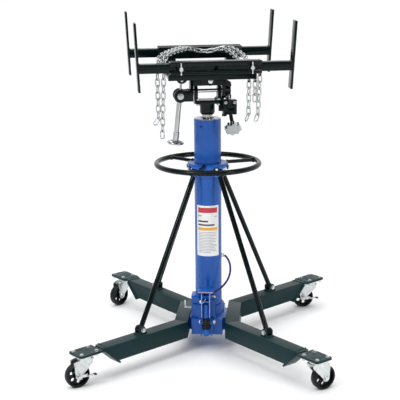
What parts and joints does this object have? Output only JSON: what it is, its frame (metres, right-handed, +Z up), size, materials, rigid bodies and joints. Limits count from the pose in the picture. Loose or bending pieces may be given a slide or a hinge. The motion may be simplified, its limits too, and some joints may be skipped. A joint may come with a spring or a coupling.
{
  "type": "transmission jack",
  "caption": "telescopic under-vehicle jack on an X base with casters, foot pump, ring handle and a tilting saddle with sliding arms and chains",
  "frame": {"origin": "column axis at floor level, the bottom centre of the bounding box", "axes": "+Z up along the column, +X to the right, -Y to the front where the foot pedal is"},
  "size_m": [0.946, 1.0156, 1.2737],
  "materials": {
    "slate_paint": "satin grey-green paint",
    "blue_paint": "glossy blue paint",
    "black_paint": "glossy black paint",
    "bright_zinc": "bright zinc plate",
    "chrome": "polished plate",
    "plain_steel": "turned steel",
    "black_rubber": "moulded rubber",
    "hose_sheath": "smooth blue sheath",
    "label_film": "printed film"
  },
  "bodies": {
    "frame": {"left_cross_beam": "slate_paint", "right_cross_beam": "slate_paint", "front_left_leg": "slate_paint", "front_right_leg": "slate_paint", "rear_left_leg": "slate_paint", "rear_right_leg": "slate_paint", "caster_plates": "slate_paint", "caster_bolts": "bright_zinc", "caster_top_plates": "bright_zinc", "base_block": "blue_paint", "column_tube": "blue_paint", "column_collar": "blue_paint", "gland_nut": "plain_steel", "pressure_cylinder": "plain_steel", "ring_handle": "black_paint", "column_stays": "black_paint", "frame_bolts": "bright_zinc", "pump_body": "blue_paint", "pedal_pin": "bright_zinc", "hose": "hose_sheath", "hose_fittings": "bright_zinc", "label_plate": "label_film", "plunger_boot": "black_rubber"},
    "lift": {"ram": "chrome"},
    "swivel_head": {"lower_yoke": "black_paint", "screw_nut_block": "black_paint", "tilt_shaft": "chrome"},
    "tilt_frame": {"tilt_yoke": "black_paint", "roll_pin": "bright_zinc"},
    "trunnion": {"screw_trunnion": "bright_zinc"},
    "side_adjuster": {"adjuster_tube": "chrome", "handwheel": "chrome"},
    "stud": {"adjuster_stud": "bright_zinc"},
    "rod_end": {"screw_rod_end": "bright_zinc"},
    "knob_screw": {"tilt_screw": "black_paint", "star_knob": "chrome"},
    "saddle": {"saddle_plate": "black_paint", "front_sleeve": "black_paint", "rear_sleeve": "black_paint", "clamp_bolts": "bright_zinc", "draped_chains": "bright_zinc"},
    "front_left_reach": {"front_left_arm": "black_paint"},
    "front_right_reach": {"front_right_arm": "black_paint"},
    "rear_left_reach": {"rear_left_arm": "black_paint"},
    "rear_right_reach": {"rear_right_arm": "black_paint"},
    "left_strands": {"left_chain_tails": "bright_zinc"},
    "right_strands": {"right_chain_tails": "bright_zinc"},
    "pedal": {"foot_pedal": "blue_paint"},
    "plunger": {"pump_plunger": "blue_paint"},
    "release": {"release_lever": "bright_zinc"},
    "fork_fl": {"caster_fork_fl": "bright_zinc"},
    "wheel_fl": {"caster_wheel_fl": "black_rubber"},
    "fork_fr": {"caster_fork_fr": "bright_zinc"},
    "wheel_fr": {"caster_wheel_fr": "black_rubber"},
    "fork_rl": {"caster_fork_rl": "bright_zinc"},
    "wheel_rl": {"caster_wheel_rl": "black_rubber"},
    "fork_rr": {"caster_fork_rr": "bright_zinc"},
    "wheel_rr": {"caster_wheel_rr": "black_rubber"},
    "brake_fl": {"brake_lever_fl": "bright_zinc"},
    "brake_rr": {"brake_lever_rr": "bright_zinc"}
  },
  "joints": [
    {"name": "ram_lift", "type": "slide", "parent": "frame", "child": "lift", "axis": [0, 0, 1], "range_m": [0, 0.68]},
    {"name": "head_swivel", "type": "hinge", "parent": "lift", "child": "swivel_head", "pos_m": [0, 0, 0.92], "axis": [0, 0, 1], "continuous": true},
    {"name": "fore_aft_tilt", "type": "hinge", "parent": "swivel_head", "child": "tilt_frame", "pos_m": [0, 0, 0.988], "axis": [0.9744, 0.225, 0], "range_deg": [-8, 8]},
    {"name": "side_tilt", "type": "hinge", "parent": "tilt_frame", "child": "saddle", "pos_m": [0.00633, -0.00074, 1.02894], "axis": [-0.2246, 0.973, 0.0523], "range_deg": [-8, 8]},
    {"name": "trunnion_turn", "type": "hinge", "parent": "tilt_frame", "child": "trunnion", "pos_m": [-0.10026, -0.02229, 0.97202], "axis": [-0.2246, 0.973, 0.0523], "range_deg": [-3, 3]},
    {"name": "handwheel_spin", "type": "hinge", "parent": "trunnion", "child": "side_adjuster", "pos_m": [-0.10026, -0.02229, 0.97202], "axis": [0.107, -0.0287, 0.9938], "range_deg": [-1440, 1440]},
    {"name": "stud_swing", "type": "hinge", "parent": "saddle", "child": "stud", "pos_m": [-0.09402, -0.02396, 1.02994], "axis": [-0.2246, 0.973, 0.0523], "range_deg": [-12, 12]},
    {"name": "rod_end_swing", "type": "hinge", "parent": "tilt_frame", "child": "rod_end", "pos_m": [0.07282, 0.04023, 0.96086], "axis": [0.9744, 0.225, 0], "range_deg": [-10, 10]},
    {"name": "star_knob_spin", "type": "hinge", "parent": "rod_end", "child": "knob_screw", "pos_m": [0.09932, -0.07457, 0.862], "axis": [-0.1723, 0.7464, 0.6428], "range_deg": [-480, 480]},
    {"name": "front_left_slide", "type": "slide", "parent": "saddle", "child": "front_left_reach", "axis": [-0.9744, -0.225, 0], "range_m": [0, 0.1]},
    {"name": "front_right_slide", "type": "slide", "parent": "saddle", "child": "front_right_reach", "axis": [0.9744, 0.225, 0], "range_m": [0, 0.1]},
    {"name": "rear_left_slide", "type": "slide", "parent": "saddle", "child": "rear_left_reach", "axis": [-0.9744, -0.225, 0], "range_m": [0, 0.1]},
    {"name": "rear_right_slide", "type": "slide", "parent": "saddle", "child": "rear_right_reach", "axis": [0.9744, 0.225, 0], "range_m": [0, 0.1]},
    {"name": "left_strand_swing", "type": "hinge", "parent": "saddle", "child": "left_strands", "pos_m": [-0.14921, -0.20277, 1.09857], "axis": [0.9744, 0.225, 0], "range_deg": [0, 12]},
    {"name": "right_strand_swing", "type": "hinge", "parent": "saddle", "child": "right_strands", "pos_m": [0.1814, -0.16338, 1.05], "axis": [0.9744, 0.225, 0], "range_deg": [-6, 6]},
    {"name": "pedal_press", "type": "hinge", "parent": "frame", "child": "pedal", "pos_m": [0, -0.112, 0.12], "axis": [1, 0, 0], "range_deg": [0, 50], "stiffness_Nm_per_rad": 4, "springref_deg": -9.74},
    {"name": "plunger_stroke", "type": "slide", "parent": "frame", "child": "plunger", "axis": [0, 0, -1], "range_m": [0, 0.0185]},
    {"name": "release_turn", "type": "hinge", "parent": "frame", "child": "release", "pos_m": [-0.066, -0.064, 0.16], "axis": [1, 0, 0], "range_deg": [0, 40]},
    {"name": "swivel_fl", "type": "hinge", "parent": "frame", "child": "fork_fl", "pos_m": [-0.40361, -0.45265, 0.11], "axis": [0, 0, 1], "continuous": true},
    {"name": "roll_fl", "type": "hinge", "parent": "fork_fl", "child": "wheel_fl", "pos_m": [-0.43023, -0.47129, 0.0445], "axis": [0.5736, -0.8192, 0], "continuous": true},
    {"name": "brake_fl_press", "type": "hinge", "parent": "fork_fl", "child": "brake_fl", "pos_m": [-0.43023, -0.47129, 0.0445], "axis": [-0.5736, 0.8192, 0], "range_deg": [0, 25]},
    {"name": "swivel_fr", "type": "hinge", "parent": "frame", "child": "fork_fr", "pos_m": [0.40361, -0.45265, 0.11], "axis": [0, 0, 1], "continuous": true},
    {"name": "roll_fr", "type": "hinge", "parent": "fork_fr", "child": "wheel_fr", "pos_m": [0.43023, -0.434, 0.0445], "axis": [-0.5736, 0.8192, 0], "continuous": true},
    {"name": "swivel_rl", "type": "hinge", "parent": "frame", "child": "fork_rl", "pos_m": [-0.40361, 0.45265, 0.11], "axis": [0, 0, 1], "continuous": true},
    {"name": "roll_rl", "type": "hinge", "parent": "fork_rl", "child": "wheel_rl", "pos_m": [-0.42225, 0.42602, 0.0445], "axis": [0.8192, -0.5736, 0], "continuous": true},
    {"name": "swivel_rr", "type": "hinge", "parent": "frame", "child": "fork_rr", "pos_m": [0.40361, 0.45265, 0.11], "axis": [0, 0, 1], "continuous": true},
    {"name": "roll_rr", "type": "hinge", "parent": "fork_rr", "child": "wheel_rr", "pos_m": [0.3716, 0.447, 0.0445], "axis": [0.1736, -0.9848, 0], "continuous": true},
    {"name": "brake_rr_press", "type": "hinge", "parent": "fork_rr", "child": "brake_rr", "pos_m": [0.3716, 0.447, 0.0445], "axis": [-0.1736, 0.9848, 0], "range_deg": [0, 25]}
  ],
  "couplings": [
    {"joint": "trunnion_turn", "follows": "side_tilt", "ratio": -0.19663},
    {"joint": "handwheel_spin", "follows": "side_tilt", "ratio": 160},
    {"joint": "stud_swing", "follows": "side_tilt", "ratio": -1.1966},
    {"joint": "rod_end_swing", "follows": "fore_aft_tilt", "ratio": -1.0016},
    {"joint": "star_knob_spin", "follows": "fore_aft_tilt", "ratio": 55},
    {"joint": "plunger_stroke", "follows": "pedal_press", "m_per_rad": 0.0205}
  ]
}
